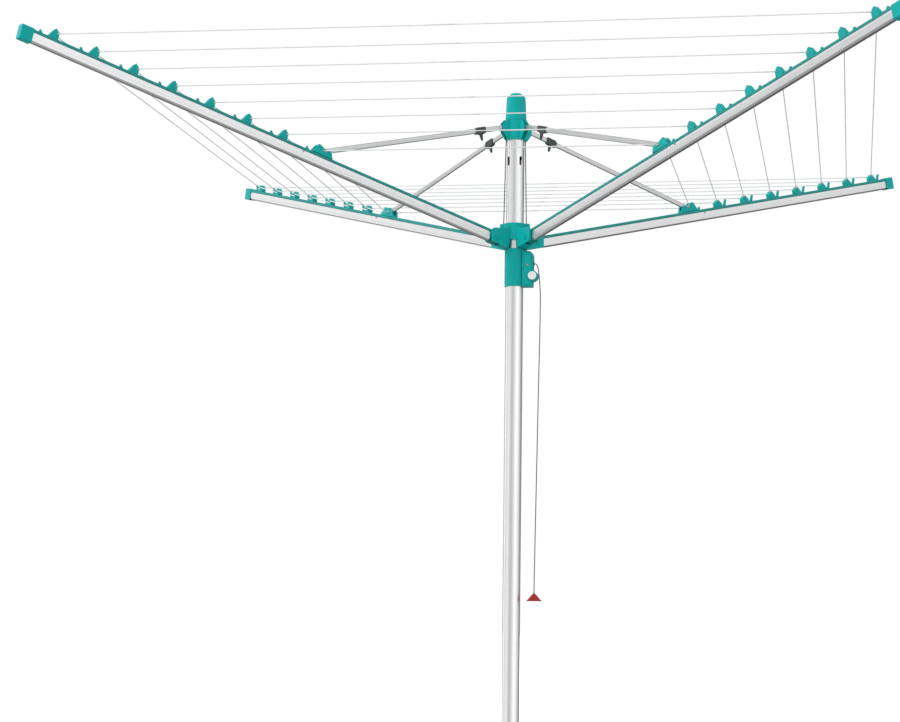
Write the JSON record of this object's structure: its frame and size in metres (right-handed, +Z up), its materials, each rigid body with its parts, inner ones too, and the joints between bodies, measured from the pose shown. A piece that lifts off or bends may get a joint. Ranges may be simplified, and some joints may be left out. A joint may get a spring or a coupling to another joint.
{
  "type": "rotary clothesline",
  "caption": "Umbrella-folding rotary clothesline: an aluminium mast turning in a ground sleeve, sloping arms strung with square rings of line, struts, cord lock and pull handle.",
  "frame": {"origin": "on the mast's axis at ground level, where the ground sleeve's flange rests on the ground", "axes": "+Z up along the mast; the arms lie on the diagonals between X and Y; the cord lock and its pull cord are on the +X side and the release button faces -Y"},
  "size_m": [2.1644, 2.1644, 2.226],
  "materials": {
    "teal_plastic": "satin moulded",
    "dark_teal_plastic": "moulded",
    "charcoal_plastic": "fine texture",
    "aluminium": "drawn and lightly polished",
    "steel": "zinc plated",
    "grey_cord": "braided cord",
    "line_coating": "smooth coated line",
    "white_plastic": "gloss moulded",
    "red_plastic": "satin moulded"
  },
  "bodies": {
    "sleeve": {"ground_sleeve": "charcoal_plastic"},
    "mast": {"mast_tube": "aluminium", "mast_foot_plug": "charcoal_plastic", "top_cap": "teal_plastic", "crown": "teal_plastic", "hoist_cord_left": "grey_cord", "hoist_cord_right": "grey_cord"},
    "hub": {"hub": "teal_plastic", "hub_bush": "charcoal_plastic", "lock_housing": "teal_plastic", "lock_box_cover": "teal_plastic", "cover_screw": "steel", "cord_gland": "dark_teal_plastic", "cleat_pin": "steel", "button_spring": "steel", "pull_cord": "grey_cord", "washing_line": "line_coating", "hinge_pin_1": "steel", "hinge_pin_2": "steel", "hinge_pin_3": "steel", "hinge_pin_4": "steel"},
    "button": {"release_button": "white_plastic"},
    "cleat": {"cord_cleat": "charcoal_plastic"},
    "handle": {"pull_handle": "red_plastic"},
    "arm_1": {"arm_knuckle_1": "dark_teal_plastic", "arm_tube_1": "aluminium", "line_rail_1": "teal_plastic", "arm_tip_cap_1": "teal_plastic", "strut_bracket_1": "teal_plastic", "strut_pin_1": "steel"},
    "strut_1": {"strut_bar_1": "aluminium", "strut_head_1": "aluminium", "hanger_clip_1": "charcoal_plastic"},
    "arm_2": {"arm_knuckle_2": "dark_teal_plastic", "arm_tube_2": "aluminium", "line_rail_2": "teal_plastic", "arm_tip_cap_2": "teal_plastic", "strut_bracket_2": "teal_plastic", "strut_pin_2": "steel"},
    "strut_2": {"strut_bar_2": "aluminium", "strut_head_2": "aluminium", "hanger_clip_2": "charcoal_plastic"},
    "arm_3": {"arm_knuckle_3": "dark_teal_plastic", "arm_tube_3": "aluminium", "line_rail_3": "teal_plastic", "arm_tip_cap_3": "teal_plastic", "strut_bracket_3": "teal_plastic", "strut_pin_3": "steel"},
    "strut_3": {"strut_bar_3": "aluminium", "strut_head_3": "aluminium", "hanger_clip_3": "charcoal_plastic"},
    "arm_4": {"arm_knuckle_4": "dark_teal_plastic", "arm_tube_4": "aluminium", "line_rail_4": "teal_plastic", "arm_tip_cap_4": "teal_plastic", "strut_bracket_4": "teal_plastic", "strut_pin_4": "steel"},
    "strut_4": {"strut_bar_4": "aluminium", "strut_head_4": "aluminium", "hanger_clip_4": "charcoal_plastic"}
  },
  "joints": [
    {"name": "mast_spin", "type": "hinge", "parent": "sleeve", "child": "mast", "pos_m": [0, 0, 0], "axis": [0, 0, 1], "continuous": true},
    {"name": "hub_slide", "type": "slide", "parent": "mast", "child": "hub", "axis": [0, 0, -1], "range_m": [0, 0.8797], "deforming": ["hoist_cord_left", "hoist_cord_right", "pull_cord", "washing_line"]},
    {"name": "button_press", "type": "slide", "parent": "hub", "child": "button", "axis": [0, 1, 0], "range_m": [0, 0.004], "stiffness_N_per_m": 500, "springref_m": -0.003, "deforming": ["button_spring"]},
    {"name": "cleat_turn", "type": "hinge", "parent": "hub", "child": "cleat", "pos_m": [0.042, 0.008, 1.401], "axis": [0, 1, 0], "range_deg": [0, 12.02]},
    {"name": "handle_rise", "type": "slide", "parent": "hub", "child": "handle", "axis": [0.0227, 0, 0.9997], "range_m": [0, 0.881]},
    {"name": "arm_1_fold", "type": "hinge", "parent": "hub", "child": "arm_1", "pos_m": [0.0495, 0.0495, 1.455], "axis": [0.7071, -0.7071, 0], "range_deg": [0, 68.82]},
    {"name": "strut_1_fold", "type": "hinge", "parent": "arm_1", "child": "strut_1", "pos_m": [0.451, 0.451, 1.62533], "axis": [0.7071, -0.7071, 0], "range_deg": [-138.12, 0]},
    {"name": "arm_2_fold", "type": "hinge", "parent": "hub", "child": "arm_2", "pos_m": [-0.0495, 0.0495, 1.455], "axis": [0.7071, 0.7071, 0], "range_deg": [0, 68.82]},
    {"name": "strut_2_fold", "type": "hinge", "parent": "arm_2", "child": "strut_2", "pos_m": [-0.451, 0.451, 1.62533], "axis": [0.7071, 0.7071, 0], "range_deg": [-138.12, 0]},
    {"name": "arm_3_fold", "type": "hinge", "parent": "hub", "child": "arm_3", "pos_m": [-0.0495, -0.0495, 1.455], "axis": [-0.7071, 0.7071, 0], "range_deg": [0, 68.82]},
    {"name": "strut_3_fold", "type": "hinge", "parent": "arm_3", "child": "strut_3", "pos_m": [-0.451, -0.451, 1.62533], "axis": [-0.7071, 0.7071, 0], "range_deg": [-138.12, 0]},
    {"name": "arm_4_fold", "type": "hinge", "parent": "hub", "child": "arm_4", "pos_m": [0.0495, -0.0495, 1.455], "axis": [-0.7071, -0.7071, 0], "range_deg": [0, 68.82]},
    {"name": "strut_4_fold", "type": "hinge", "parent": "arm_4", "child": "strut_4", "pos_m": [0.451, -0.451, 1.62533], "axis": [-0.7071, -0.7071, 0], "range_deg": [-138.12, 0]}
  ],
  "couplings": [
    {"joint": "cleat_turn", "follows": "button_press", "rad_per_m": 52.36},
    {"joint": "handle_rise", "follows": "hub_slide", "ratio": 1.0003},
    {"joint": "arm_1_fold", "follows": "hub_slide", "rad_per_m": 1.365},
    {"joint": "strut_1_fold", "follows": "hub_slide", "rad_per_m": -2.7396},
    {"joint": "arm_2_fold", "follows": "hub_slide", "rad_per_m": 1.365},
    {"joint": "strut_2_fold", "follows": "hub_slide", "rad_per_m": -2.7396},
    {"joint": "arm_3_fold", "follows": "hub_slide", "rad_per_m": 1.365},
    {"joint": "strut_3_fold", "follows": "hub_slide", "rad_per_m": -2.7396},
    {"joint": "arm_4_fold", "follows": "hub_slide", "rad_per_m": 1.365},
    {"joint": "strut_4_fold", "follows": "hub_slide", "rad_per_m": -2.7396}
  ]
}
